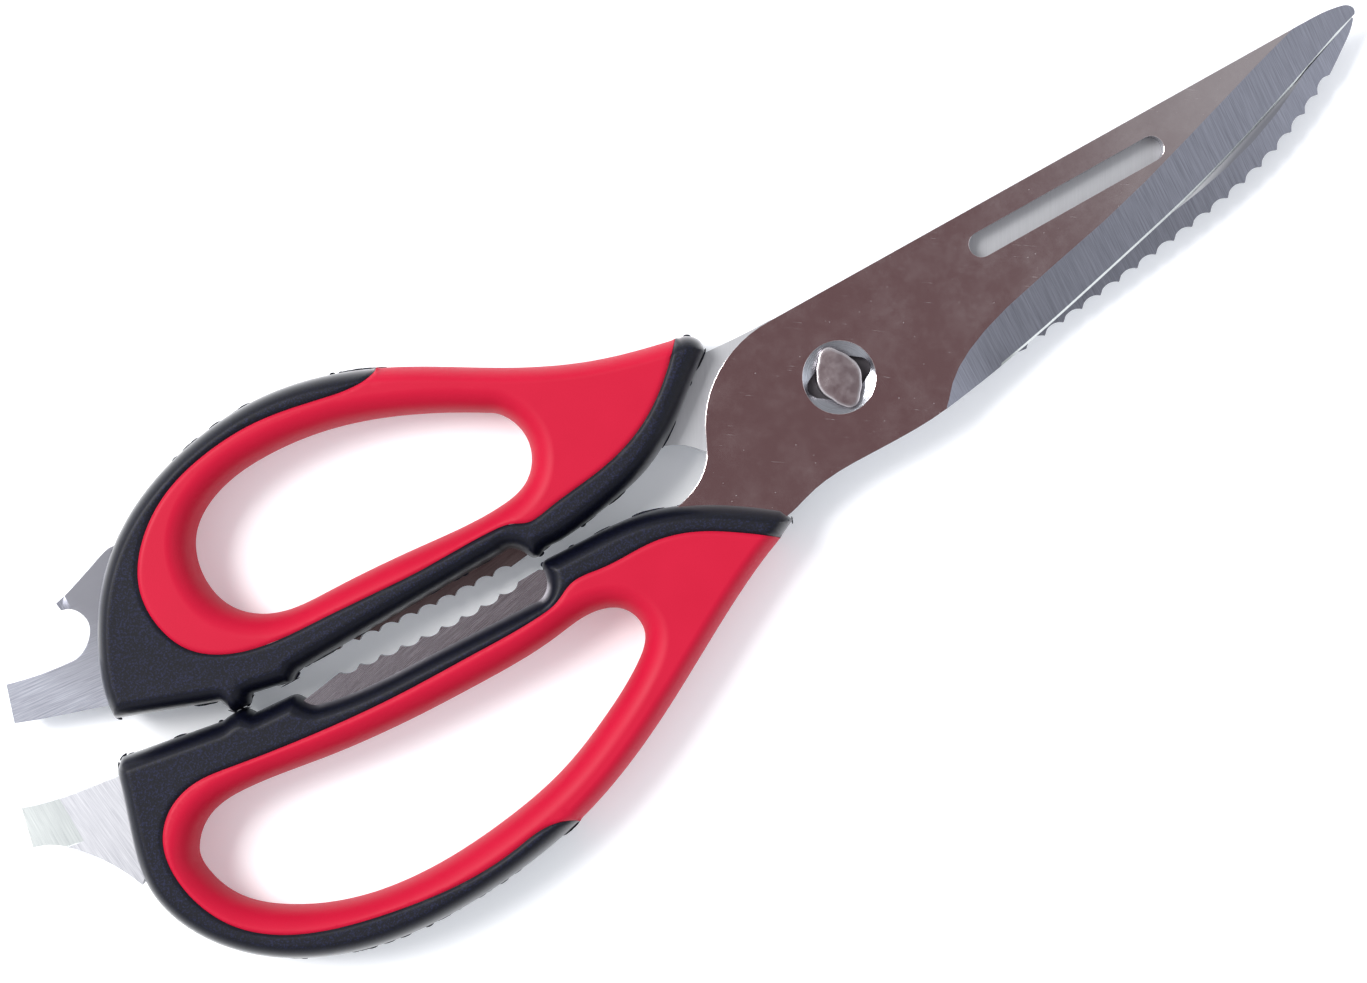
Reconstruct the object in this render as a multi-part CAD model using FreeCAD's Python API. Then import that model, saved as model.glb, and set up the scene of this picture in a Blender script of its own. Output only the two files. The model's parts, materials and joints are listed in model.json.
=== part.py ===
import FreeCAD, Part
import os
from math import cos, hypot, radians, sin

# Take-apart poultry shears, closed and lying flat. Millimetres, +X to the blade tips, +Z up.
# Everything is drawn about the pivot, with the joint plane of the two blades at Z = 0, and is
# moved at the end so that the origin is under the middle of the closed shears.

# Blades
blade_thickness = 2.5
blade_gap = 0.06            # running gap between the two flat inner faces
edge_land = 0.35            # steel left behind a ground cutting edge
lifter_land = 0.8           # and behind the lid lifter's edge
slot_length, slot_width = 33.0, 3.8
slot_centre = (43.0, 6.9)
scaler_teeth, scaler_depth = 18, 0.75
scaler_bevel_width, scaler_bevel_drop, scaler_bevel_lean = 3.4, 1.3, 0.33
jaw_teeth, jaw_tooth_depth = 9, 0.7

# Pivot: a lobed stud head that only passes the lobed hole when the shears are wide open
shank_radius = 3.4
bore_clearance = 0.05
recess_radius, recess_depth = 5.5, 1.0
head_lobe_radius, head_lobe_offset = 1.6, 3.3
head_clearance = 0.06
head_proud = 0.25
head_angle, keyhole_angle = -92.0, -5.0
keyhole_clearance = 0.15
rivet_radius, rivet_height = 5.6, 1.1

# Moulded handles
handle_thickness = 12.4
handle_rounding = 3.2
stop_gap = 0.1
stop_line = 0.7             # Y where the two stop pads meet

half_gap = blade_gap / 2
front_top = half_gap + blade_thickness
rear_bottom = -front_top
half_handle = handle_thickness / 2
recess_floor = front_top - recess_depth


def smooth(points):
    """Smooth open curve through the points."""
    curve = Part.BSplineCurve()
    curve.interpolate([FreeCAD.Vector(x, y, 0) for x, y in points])
    return curve.toShape()


def wire(*stretches, teeth=()):
    """Closed wire: two points make a straight edge, three or more a smooth curve."""
    edges = list(teeth)
    for points in stretches:
        if len(points) == 2:
            start, end = [FreeCAD.Vector(x, y, 0) for x, y in points]
            edges.append(Part.LineSegment(start, end).toShape())
        else:
            edges.append(smooth(points))
    return Part.Wire(Part.__sortEdges__(edges))


def loop(points):
    """Closed smooth wire through the points."""
    curve = Part.BSplineCurve()
    curve.interpolate([FreeCAD.Vector(x, y, 0) for x, y in points], PeriodicFlag=True)
    return Part.Wire([curve.toShape()])


def slab(outline, bottom, top):
    """The outline's area made solid from one height to another."""
    face = Part.Face(outline)
    face.translate(FreeCAD.Vector(0, 0, bottom))
    return face.extrude(FreeCAD.Vector(0, 0, top - bottom))


def disc(radius, bottom, top, x=0.0, y=0.0):
    return Part.makeCylinder(radius, top - bottom, FreeCAD.Vector(x, y, bottom))


def scallops(tips, depth):
    """Tooth line through the tips: each tooth has a long hollow flank and a short back."""
    edges = []
    for (x0, y0), (x1, y1) in zip(tips, tips[1:]):
        dx, dy = x1 - x0, y1 - y0
        length = hypot(dx, dy)
        nx, ny = dy / length * depth, -dx / length * depth
        start = FreeCAD.Vector(x0, y0, 0)
        middle = FreeCAD.Vector(x0 + 0.45 * dx + nx, y0 + 0.45 * dy + ny, 0)
        valley = FreeCAD.Vector(x0 + 0.8 * dx + 0.75 * nx, y0 + 0.8 * dy + 0.75 * ny, 0)
        end = FreeCAD.Vector(x1, y1, 0)
        edges.append(Part.Arc(start, middle, valley).toShape())
        edges.append(Part.LineSegment(valley, end).toShape())
    return edges


def along(points, count):
    """Evenly spaced points on the smooth curve through the given ones."""
    return [(p.x, p.y) for p in smooth(points).discretize(count)]


def ground_bevel(shoulder, edge, face_z, edge_z, overshoot=0.5):
    """Wedge that grinds a bevel from a shoulder line on one face down to the cutting edge."""
    sections = []
    levels = edge_z if isinstance(edge_z, list) else [edge_z] * len(edge)
    clear = face_z - (min(levels) + max(levels) - 2 * face_z) * 0.25
    for (sx, sy), (ex, ey), level in zip(shoulder, edge, levels):
        ux, uy = ex - sx, ey - sy
        out = 1.0 + overshoot
        drop = (level - face_z) * out
        low = FreeCAD.Vector(sx + ux * out, sy + uy * out, face_z + drop)
        high = FreeCAD.Vector(sx + ux * out, sy + uy * out, clear)
        inner = FreeCAD.Vector(sx, sy, face_z)
        back = FreeCAD.Vector(sx, sy, clear)
        sections.append(Part.makePolygon([inner, low, high, back, inner]))
    return Part.makeLoft(sections, True, True)


def lobed(centre_radius, lobe_radius, offset, angle, bottom, top):
    """A disc with two smaller lobes, as of the stud head and of the hole that it passes."""
    reach = Part.makeCylinder(centre_radius, top - bottom, FreeCAD.Vector(0, 0, bottom))
    direction = FreeCAD.Vector(cos(radians(angle)), sin(radians(angle)), 0)
    for sign in (1, -1):
        spot = direction * (offset * sign)
        reach = reach.fuse(disc(lobe_radius, bottom, top, spot.x, spot.y))
        # straight flanks tangent to the disc and to the lobe
        lean = (centre_radius - lobe_radius) / offset
        side = (1 - lean * lean) ** 0.5
        across = FreeCAD.Vector(-direction.y, direction.x, 0)
        corners = []
        for radius, base in ((centre_radius, FreeCAD.Vector(0, 0, 0)), (lobe_radius, spot)):
            for turn in (1, -1):
                normal = direction * (lean * sign) + across * (side * turn)
                corners.append(base + normal * radius)
        a, b, c, d = corners
        flank = Part.Face(Part.makePolygon([a, b, d, c, a]))
        flank.translate(FreeCAD.Vector(0, 0, bottom))
        reach = reach.fuse(flank.extrude(FreeCAD.Vector(0, 0, top - bottom)))
    return reach.removeSplitter()


# Front blade: top blade, mirror polished, with its tang through the lower handle
# X, then Y of the bevel's shoulder and of the cutting edge; the bevel runs out at the heel
bevel_stations = [(98.0, 16.0, 10.6), (91.0, 13.95, 8.3), (84.4, 12.0, 5.85),
                  (77.7, 10.1, 3.6), (71.5, 8.2, 1.45), (63.0, 5.6, -1.1), (54.6, 3.1, -3.3),
                  (46.0, 0.9, -5.4), (36.0, -1.2, -7.7), (27.1, -3.2, -9.55),
                  (22.5, -4.6, -10.45), (19.0, -6.05, -11.0), (16.4, -7.5, -11.4),
                  (14.4, -9.1, -11.7), (12.8, -10.9, -11.9), (11.9, -11.8, -12.1)]
full_bevel_width = 6.5

front_edge = [(94.5, 9.5), (84.8, 6.0), (73.2, 2.0), (61.0, -1.7), (45.0, -5.6),
              (27.0, -9.6), (12.0, -12.0)]


def front_blade():
    crests = along([(-87.1, -1.8), (-78.0, -2.7), (-69.5, -3.3), (-57.0, -3.1)], jaw_teeth + 1)
    outline = wire(
        [(-5.0, 12.5), (88.5, 12.15)],
        [(88.5, 12.15), (90.2, 12.07), (91.8, 11.9), (93.2, 11.62), (94.2, 11.2),
         (94.75, 10.5), (94.5, 9.5)],
        front_edge,
        [(12.0, -12.0), (-1.9, -12.3), (-12.0, -13.0), (-16.3, -14.2), (-22.0, -14.3),
         (-30.0, -11.8), (-38.0, -9.3), (-48.0, -8.9), (-62.0, -9.2), (-80.0, -9.2),
         (-95.0, -7.8), (-110.0, -6.8), (-118.0, -7.6), (-123.0, -10.8), (-128.4, -15.0)],
        [(-128.4, -15.0), (-130.4, -10.8), (-132.4, -7.8), (-135.5, -4.5), (-140.3, -2.1)],
        [(-140.3, -2.1), (-138.9, 3.9)],
        [(-138.9, 3.9), (-133.8, 2.5), (-123.8, 1.0), (-115.0, -0.8), (-97.0, -3.1),
         (-89.0, -2.1), (-87.1, -1.8)],
        [(-57.0, -3.1), (-53.5, -3.0)],
        [(-53.5, -3.0), (-50.0, -4.7), (-40.0, -5.3), (-33.0, -5.3), (-26.9, -3.8),
         (-23.4, -1.0), (-21.3, 3.1), (-17.5, 8.0), (-11.7, 11.4), (-5.0, 12.5)],
        teeth=scallops(crests, jaw_tooth_depth))
    blade = slab(outline, half_gap, front_top)
    edge, shoulder, edge_z = [], [], []
    for x, shoulder_y, edge_y in bevel_stations:
        fall = min(1.0, (shoulder_y - edge_y) / full_bevel_width)
        shoulder.append((x, shoulder_y))
        edge.append((x, edge_y))
        edge_z.append(front_top - fall * (blade_thickness - edge_land))
    blade = blade.cut(ground_bevel(shoulder, edge, front_top, edge_z))
    lifter_edge = [(-141.5, -3.5), (-139.5, 5.5)]
    lifter_shoulder = [(-132.8, -5.0), (-132.9, 3.4)]
    blade = blade.cut(ground_bevel(lifter_shoulder, lifter_edge, front_top,
                                   half_gap + lifter_land))
    x, y = slot_centre
    end_radius = slot_width / 2
    reach = slot_length / 2 - end_radius
    corner = FreeCAD.Vector(x - reach, y - end_radius, 0)
    slot = Part.makeBox(2 * reach, slot_width, front_top, corner)
    for end_x in (x - reach, x + reach):
        slot = slot.fuse(disc(end_radius, 0, front_top, end_x, y))
    blade = blade.cut(slot)
    blade = blade.cut(disc(recess_radius, recess_floor, front_top + 1))
    return blade.cut(lobed(shank_radius + bore_clearance, head_lobe_radius + keyhole_clearance,
                           head_lobe_offset, keyhole_angle, 0, front_top))


# Rear blade: under blade, with the scaler on its back and the tools on its tang
def rear_blade():
    tips = along([(87.3, 3.5), (80.5, -0.1), (71.0, -3.7), (60.6, -5.9), (47.0, -7.8),
                  (37.2, -9.0), (27.0, -10.1)], scaler_teeth + 1)
    crests = along([(-57.0, -0.6), (-67.5, -0.2), (-76.0, 0.4), (-85.5, 1.3)], jaw_teeth + 1)
    teeth = scallops(tips, scaler_depth) + scallops(crests, jaw_tooth_depth)
    outline = wire(
        [(-5.0, 12.7), (4.0, 11.6), (20.0, 11.3), (84.0, 10.9), (90.5, 10.8), (94.7, 9.4)],
        [(94.7, 9.4), (93.3, 7.8), (91.6, 6.5), (89.5, 5.0), (87.3, 3.5)],
        [(27.0, -10.1), (21.0, -9.6), (10.0, -10.4), (-2.0, -11.0), (-12.0, -9.8),
         (-18.5, -5.6), (-21.5, -1.8), (-24.4, 1.8), (-28.0, 4.0)],
        [(-28.0, 4.0), (-38.0, 2.6), (-47.0, 0.9), (-57.0, -0.6)],
        [(-85.5, 1.3), (-91.0, 2.4), (-104.0, 5.4), (-113.0, 8.6), (-120.1, 11.0),
         (-127.0, 13.2), (-133.8, 15.6)],
        [(-133.8, 15.6), (-132.0, 21.3)],
        [(-132.0, 21.3), (-125.4, 19.9), (-121.6, 19.5)],
        [(-121.6, 19.5), (-118.0, 21.0), (-116.6, 23.6), (-117.8, 26.3), (-119.4, 27.0)],
        [(-119.4, 27.0), (-119.6, 28.3)],
        [(-119.6, 28.3), (-116.4, 29.1), (-110.9, 31.0), (-107.7, 31.6), (-104.6, 28.0),
         (-103.2, 21.0), (-101.5, 14.0), (-97.5, 8.6), (-90.0, 6.1), (-78.0, 5.3),
         (-62.0, 4.6), (-50.0, 4.7), (-43.0, 6.6), (-32.0, 11.2), (-24.0, 13.2),
         (-15.6, 13.2), (-5.0, 12.7)],
        teeth=teeth)
    blade = slab(outline, rear_bottom, -half_gap)
    edge = [(97.5, 10.2), (91.5, 10.9), (84.0, 11.0), (60.0, 11.1), (20.0, 11.4), (8.0, 11.6)]
    shoulder = [(93.4, 7.4), (87.0, 5.4), (78.0, 5.0), (58.0, 5.0), (22.0, 5.6), (8.0, 11.4)]
    blade = blade.cut(ground_bevel(shoulder, edge, rear_bottom, -half_gap - edge_land))
    steps = along([(96.5, 10.0), (91.6, 6.2), (87.3, 3.5), (80.5, -0.1), (71.0, -3.7),
                   (60.6, -5.9), (47.0, -7.8), (37.2, -9.0), (27.0, -10.1), (20.0, -10.9)], 16)
    shoulder = [(x - scaler_bevel_lean * scaler_bevel_width, y + scaler_bevel_width)
                for x, y in steps]
    blade = blade.cut(ground_bevel(shoulder, steps, -half_gap,
                                   -half_gap - scaler_bevel_drop))
    return blade.cut(disc(shank_radius, rear_bottom, 0))


def pivot_stud():
    """Stud fixed in the rear blade: rivet head below, shank, and the lobed head on top."""
    rivet = Part.makeCylinder(rivet_radius, rivet_height,
                              FreeCAD.Vector(0, 0, rear_bottom - rivet_height))
    bottom_rim = [e for e in rivet.Edges if abs(e.BoundBox.ZMax - rivet.BoundBox.ZMin) < 0.01
                  and len(e.Vertexes) == 1]
    rivet = rivet.makeFillet(0.7, bottom_rim)
    shank = disc(shank_radius, rear_bottom, recess_floor + head_clearance)
    head = lobed(shank_radius, head_lobe_radius, head_lobe_offset, head_angle,
                 recess_floor + head_clearance, front_top + head_proud)
    rim = [e for e in head.Edges if e.BoundBox.ZMin > front_top + head_proud - 0.01]
    head = head.makeFillet(0.25, rim)
    return rivet.fuse(shank).fuse(head)


# Handle mouldings: a black rigid body and a red soft ring share one smooth outer form
rear_hole = [(-48.2, 21.1), (-57.6, 26.2), (-69.5, 30.6), (-81.5, 32.1), (-90.0, 30.9),
             (-96.0, 27.0), (-98.1, 21.0), (-96.7, 15.0), (-92.0, 11.1), (-82.3, 9.7),
             (-67.5, 8.8), (-54.5, 8.1), (-48.3, 9.7), (-45.5, 14.0), (-45.9, 18.2)]
front_hole = [(-118.6, -14.1), (-114.3, -10.7), (-107.0, -10.2), (-95.0, -11.9),
              (-83.0, -13.1), (-68.4, -13.6), (-56.0, -13.1), (-49.0, -12.7), (-45.0, -14.8),
              (-44.1, -18.6), (-47.8, -22.8), (-55.7, -27.2), (-65.0, -31.0), (-76.5, -33.4),
              (-90.0, -34.2), (-101.5, -32.6), (-111.0, -28.6), (-117.3, -23.0),
              (-119.2, -18.0)]


def handle_form(stretches, hole):
    form = slab(wire(*stretches), -half_handle, half_handle)
    form = form.cut(slab(loop(hole), -half_handle, half_handle))
    rims = [e for e in form.Edges
            if e.Length > 100 and abs(e.BoundBox.ZMax - e.BoundBox.ZMin) < 0.01]
    return form.makeFillet(handle_rounding, rims)


def rear_handle_form():
    pad = stop_line + stop_gap / 2
    return handle_form([
        [(-17.0, 16.8), (-21.6, 17.8), (-30.0, 20.1), (-41.0, 24.9), (-59.0, 35.0),
         (-66.5, 38.0), (-77.0, 40.1), (-89.3, 39.3), (-102.7, 34.6), (-111.0, 28.1),
         (-116.8, 19.6), (-119.5, 12.5), (-119.9, 8.7)],
        [(-119.9, 8.7), (-104.8, 3.2)],
        [(-104.8, 3.2), (-104.0, pad)],
        [(-104.0, pad), (-101.2, pad)],
        [(-101.2, pad), (-100.2, 1.9)],
        [(-100.2, 1.9), (-95.0, 0.8)],
        [(-95.0, 0.8), (-93.6, 0.7), (-92.8, 1.2), (-91.6, 1.5)],
        [(-91.6, 1.5), (-57.0, 1.9)],
        [(-57.0, 1.9), (-55.2, 1.6), (-54.2, 0.4), (-53.6, -0.8), (-51.5, -0.9)],
        [(-51.5, -0.9), (-45.0, -0.5), (-38.1, 0.6), (-33.1, 1.8), (-28.0, 4.1),
         (-21.5, 8.8), (-15.6, 13.4)],
        [(-15.6, 13.4), (-15.6, 15.4), (-17.0, 16.8)],
    ], rear_hole)


def rear_red_area():
    return slab(wire(
        [(-59.0, 36.0), (-60.6, 34.7), (-64.0, 34.3), (-70.0, 35.3), (-79.0, 36.8),
         (-88.0, 36.4), (-96.2, 34.1), (-102.5, 29.8), (-106.4, 24.0), (-106.8, 17.5),
         (-104.6, 12.3), (-100.5, 9.1), (-93.0, 7.0), (-84.0, 6.4), (-67.7, 5.5),
         (-56.1, 5.4), (-53.7, 5.0), (-51.2, 3.9), (-48.0, 4.1), (-37.6, 5.5),
         (-30.3, 7.7), (-23.9, 11.8), (-17.5, 18.5)],
        [(-17.5, 18.5), (-40.0, 34.0)],
        [(-40.0, 34.0), (-59.0, 44.0)],
        [(-59.0, 44.0), (-59.0, 36.0)]), -20, 20)


def front_handle_form():
    pad = stop_line - stop_gap / 2
    return handle_form([
        [(-121.9, 3.2), (-106.2, 0.5)],
        [(-106.2, 0.5), (-105.2, pad)],
        [(-105.2, pad), (-102.2, pad)],
        [(-102.2, pad), (-101.2, -0.8)],
        [(-101.2, -0.8), (-95.4, -1.2)],
        [(-95.4, -1.2), (-94.2, -1.8), (-93.2, -3.4), (-91.8, -4.3)],
        [(-91.8, -4.3), (-85.3, -5.4), (-74.1, -6.0), (-62.9, -6.5), (-56.5, -6.8)],
        [(-56.5, -6.8), (-54.2, -6.2), (-53.2, -4.6), (-52.8, -2.8), (-51.2, -2.2)],
        [(-51.2, -2.2), (-43.0, -2.5), (-36.2, -3.2), (-30.8, -4.8), (-24.5, -8.0),
         (-17.4, -13.0)],
        [(-17.4, -13.0), (-16.5, -15.2)],
        [(-16.5, -15.2), (-19.7, -16.8)],
        [(-19.7, -16.8), (-29.3, -21.2), (-42.0, -28.2), (-54.6, -34.6), (-66.2, -38.8),
         (-78.6, -41.1), (-91.0, -41.7), (-101.5, -40.6), (-112.3, -36.9), (-120.0, -31.6),
         (-125.6, -24.4), (-127.9, -16.5), (-126.6, -8.5), (-123.5, 1.8)],
        [(-123.5, 1.8), (-121.9, 3.2)],
    ], front_hole)


def front_red_area():
    return slab(wire(
        [(-17.0, -19.0), (-20.2, -16.0), (-24.0, -13.2), (-30.0, -9.6), (-36.0, -7.8),
         (-45.0, -7.4), (-50.3, -7.2), (-53.2, -8.5), (-56.5, -9.1), (-68.3, -9.2),
         (-80.0, -9.0), (-96.0, -7.7), (-107.5, -6.1), (-114.0, -5.6), (-118.8, -7.3),
         (-122.0, -11.0), (-122.9, -16.0), (-122.0, -21.2), (-119.2, -26.6), (-114.0, -31.2),
         (-106.0, -34.7), (-97.0, -36.8), (-86.0, -38.1), (-76.5, -37.6), (-71.0, -37.0),
         (-67.5, -38.0), (-65.5, -40.5)],
        [(-65.5, -40.5), (-40.0, -38.0)],
        [(-40.0, -38.0), (-17.0, -19.0)]), -20, 20)


front_steel = front_blade()
rear_steel = rear_blade()
rear_form = rear_handle_form().cut(rear_steel)
front_form = front_handle_form().cut(front_steel)
nodes = {
    "front_blade": front_steel,
    "rear_blade": rear_steel,
    "pivot_stud": pivot_stud(),
    "rear_handle": rear_form.cut(rear_red_area()),
    "rear_grip": rear_form.common(rear_red_area()),
    "front_handle": front_form.cut(front_red_area()),
    "front_grip": front_form.common(front_red_area()),
}

whole = Part.makeCompound(list(nodes.values())).optimalBoundingBox()
shift = FreeCAD.Vector(-(whole.XMin + whole.XMax) / 2, -(whole.YMin + whole.YMax) / 2, -whole.ZMin)

os.makedirs("parts", exist_ok=True)
for name, shape in nodes.items():
    placed = shape.copy()
    placed.translate(shift)
    placed.exportStep("parts/" + name + ".step")
    box = placed.optimalBoundingBox()
    print(name, placed.isValid(), len(placed.Solids), round(placed.Volume, 1),
          [round(v, 2) for v in (box.XMin, box.XMax, box.YMin, box.YMax, box.ZMin, box.ZMax)])
print("pivot at", [round(v, 3) for v in shift])
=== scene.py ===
import json
from math import pi, radians
import bmesh
import bpy
import numpy as np
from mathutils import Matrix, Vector
from mathutils.geometry import delaunay_2d_cdt


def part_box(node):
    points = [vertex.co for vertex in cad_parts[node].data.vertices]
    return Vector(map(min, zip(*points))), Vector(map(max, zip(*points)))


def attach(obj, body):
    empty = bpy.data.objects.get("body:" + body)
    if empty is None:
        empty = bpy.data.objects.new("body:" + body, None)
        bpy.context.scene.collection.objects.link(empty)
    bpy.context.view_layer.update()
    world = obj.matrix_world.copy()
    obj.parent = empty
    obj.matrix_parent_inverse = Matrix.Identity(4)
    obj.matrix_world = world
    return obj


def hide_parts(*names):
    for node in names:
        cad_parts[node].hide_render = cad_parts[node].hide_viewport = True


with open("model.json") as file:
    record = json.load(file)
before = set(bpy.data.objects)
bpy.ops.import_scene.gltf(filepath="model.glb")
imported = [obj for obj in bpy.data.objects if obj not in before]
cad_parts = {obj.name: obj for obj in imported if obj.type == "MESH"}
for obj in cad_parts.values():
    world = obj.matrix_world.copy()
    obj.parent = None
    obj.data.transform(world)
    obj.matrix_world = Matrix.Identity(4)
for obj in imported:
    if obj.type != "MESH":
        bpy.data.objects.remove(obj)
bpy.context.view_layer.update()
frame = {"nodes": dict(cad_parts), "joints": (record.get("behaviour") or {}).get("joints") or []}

MM = 0.001
scene = bpy.context.scene
scene.view_settings.view_transform = "Standard"
pivot = Vector(frame["joints"][0]["pos_m"])


# ---- The studio: a pale sheet of paper, a large soft lamp to the upper left with a faint
# one opposite, and a plain room. The polished blade faces straight up, so it shows the
# brown ceiling above the camera, while the paler walls round about light the edges.
class Field:
    """A node socket that is used like a number: expressions add the Math nodes."""

    def __init__(self, tree, socket):
        self.tree = tree
        self.socket = socket

    def math(self, operation, *others):
        node = self.tree.nodes.new("ShaderNodeMath")
        node.operation = operation
        for pin, value in zip(node.inputs, (self, *others)):
            plug(self.tree, pin, value)
        return Field(self.tree, node.outputs[0])

    def reflected(self, operation, other):
        node = self.tree.nodes.new("ShaderNodeMath")
        node.operation = operation
        plug(self.tree, node.inputs[0], other)
        plug(self.tree, node.inputs[1], self)
        return Field(self.tree, node.outputs[0])

    def __add__(self, other):
        return self.math("ADD", other)

    __radd__ = __add__

    def __sub__(self, other):
        return self.math("SUBTRACT", other)

    def __rsub__(self, other):
        return self.reflected("SUBTRACT", other)

    def __mul__(self, other):
        return self.math("MULTIPLY", other)

    __rmul__ = __mul__

    def __truediv__(self, other):
        return self.math("DIVIDE", other)

    def __rtruediv__(self, other):
        return self.reflected("DIVIDE", other)

    def __pow__(self, other):
        return self.math("POWER", other)

    def __neg__(self):
        return self * -1.0

    def clamped(self):
        return self.math("MINIMUM", 1.0).math("MAXIMUM", 0.0)


def plug(tree, pin, value):
    """Put a number, colour or link into an input socket."""
    if isinstance(value, Field):
        tree.links.new(value.socket, pin)
    elif isinstance(value, tuple) and len(value) == 3 and pin.type == "RGBA":
        pin.default_value = (*value, 1.0)
    else:
        pin.default_value = value


def add(tree, kind, settings=None, inputs=None, out=0):
    """One node: its type, its settings, and the values or links of its sockets."""
    node = tree.nodes.new(kind)
    for name, value in (settings or {}).items():
        setattr(node, name, value)
    for name, value in (inputs or {}).items():
        plug(tree, node.inputs[name], value)
    return Field(tree, node.outputs[out])


def blend_colours(tree, factor, first, second):
    """The first colour where the factor is 0, the second where it is 1."""
    node = tree.nodes.new("ShaderNodeMix")
    node.data_type = "RGBA"
    plug(tree, node.inputs["Factor"], factor)
    plug(tree, node.inputs[6], first)
    plug(tree, node.inputs[7], second)
    return Field(tree, node.outputs[2])


view_turn = radians(-29.4)
view_centre = (-6.0 * MM, -2.7 * MM)
view_width = 205.0 * MM
camera_height = 470.0 * MM
blade_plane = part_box("front_blade")[1].z

camera_data = bpy.data.cameras.new("camera")
camera_data.sensor_width = 36.0
camera_data.lens = 36.0 * camera_height / view_width
camera = bpy.data.objects.new("camera", camera_data)
camera.location = (*view_centre, blade_plane + camera_height)
camera.rotation_euler = (0.0, 0.0, view_turn)
scene.collection.objects.link(camera)
scene.camera = camera


def paper_sheet():
    """A large level sheet that lies a hair's breadth under the handles."""
    half, under = 3.0, -0.05 * MM
    mesh = bpy.data.meshes.new("paper")
    mesh.from_pydata([(x, y, under) for x, y in ((-half, -half), (half, -half), (half, half),
                                                 (-half, half))], [], [(0, 1, 2, 3)])
    paper = bpy.data.objects.new("paper", mesh)
    scene.collection.objects.link(paper)
    finish = bpy.data.materials.new("paper")
    finish.use_nodes = True
    shader = finish.node_tree.nodes["Principled BSDF"]
    shader.inputs["Base Color"].default_value = (0.915, 0.925, 0.94, 1.0)
    shader.inputs["Emission Color"].default_value = (0.86, 0.92, 1.0, 1.0)
    shader.inputs["Emission Strength"].default_value = 0.18
    shader.inputs["Roughness"].default_value = 0.75
    shader.inputs["Specular IOR Level"].default_value = 0.2
    mesh.materials.append(finish)


def soft_lamp(name, place, size, power, colour):
    """A square lamp turned towards the middle of the sheet."""
    lamp_data = bpy.data.lights.new(name, "AREA")
    lamp_data.size = size
    lamp_data.energy = power
    lamp_data.color = colour
    lamp = bpy.data.objects.new(name, lamp_data)
    lamp.location = place
    lamp.rotation_euler = (Vector((0, 0, 0)) - Vector(place)).to_track_quat("-Z", "Y").to_euler()
    scene.collection.objects.link(lamp)


def room():
    """A brown ceiling over the camera, a dim room, and daylight low down and to the left."""
    world = bpy.data.worlds.new("room")
    world.use_nodes = True
    scene.world = world
    tree = world.node_tree
    tree.nodes.clear()
    way = add(tree, "ShaderNodeTexCoord", out=0)
    x = add(tree, "ShaderNodeSeparateXYZ", inputs={"Vector": way}, out=0)
    y = add(tree, "ShaderNodeSeparateXYZ", inputs={"Vector": way}, out=1)
    z = add(tree, "ShaderNodeSeparateXYZ", inputs={"Vector": way}, out=2)
    off_centre = ((x / 0.203) ** 2.0 + (y / 0.30) ** 2.0).math("SQRT")
    ceiling = ((0.98 - off_centre) * 4.0).clamped() * (z * 8.0 - 4.0).clamped()
    low_down = ((0.35 - z) * 4.0).clamped()
    leftward = ((x * -1.0 - 0.12) * 5.0).clamped() * 0.5
    windowward = ((y - 0.15) * 1.6).clamped() * 0.35
    rightward = ((x - 0.13) * 6.0).clamped() * 0.16
    level = (0.48 + leftward + rightward + windowward).math("MAXIMUM", low_down * 0.95)
    pale = blend_colours(tree, level, (0.0, 0.0, 0.0), (0.96, 0.97, 1.0))
    tone = blend_colours(tree, ceiling, pale, (0.215, 0.125, 0.13))
    light = add(tree, "ShaderNodeBackground", inputs={"Color": tone, "Strength": 1.0})
    tree.links.new(light.socket, tree.nodes.new("ShaderNodeOutputWorld").inputs["Surface"])


paper_sheet()
room()
soft_lamp("window", (-0.72, 0.86, 1.34), 0.75, 34.0, (1.0, 0.985, 0.97))
soft_lamp("fill", (0.9, -0.5, 0.9), 0.9, 3.0, (0.9, 0.94, 1.0))


# ---- Handle mouldings: on each tang a rigid black moulding and a soft red ring are moulded
# together in two shots. They share one pillow-like form, flat on its faces and rolled off
# to a parting line at mid-thickness, with a fine groove where the two colours meet. Slivers
# of flash are left along the black's parting line.
handle_low, handle_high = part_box("rear_handle")
middle_z = (handle_low.z + handle_high.z) / 2
half_thickness = (handle_high.z - handle_low.z) / 2
clear_of_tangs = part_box("rear_blade")[0].z - 0.25 * MM
# The outlines are worked out in mm, and a depth of 1 is where the roll meets the flat.
outer_roll, finger_roll = 3.0, 4.2
rolls = (0.0157, 0.06, 0.14, 0.25, 0.38, 0.52, 0.66, 0.8, 0.9, 1.05)
seam_rows = (0.1, 0.25, 0.45, 0.75, 1.1)
rim_step = 0.55
inside_step = 1.3
inside_row = inside_step * 0.87
seam_inset = 0.03
corner_turn = 30
straight_within = 0.0025
seam_reach = 0.06
smallest_loop = 5
roll_match, row_match = 0.04, 0.95
rim_clearance, seam_clearance = 0.03, 0.2
flat_from, flat_off_seam = 1.15, 1.4
closest_points, closest_to_brink = 0.16, 0.05
rim_insets = (0.09, 0.0, 0.0, rolls[0] * outer_roll * 0.25)
rim_depths = (0.0, 0.0001, 0.0008, rolls[0] * 0.25)
far_off_seam = 9.0


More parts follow.
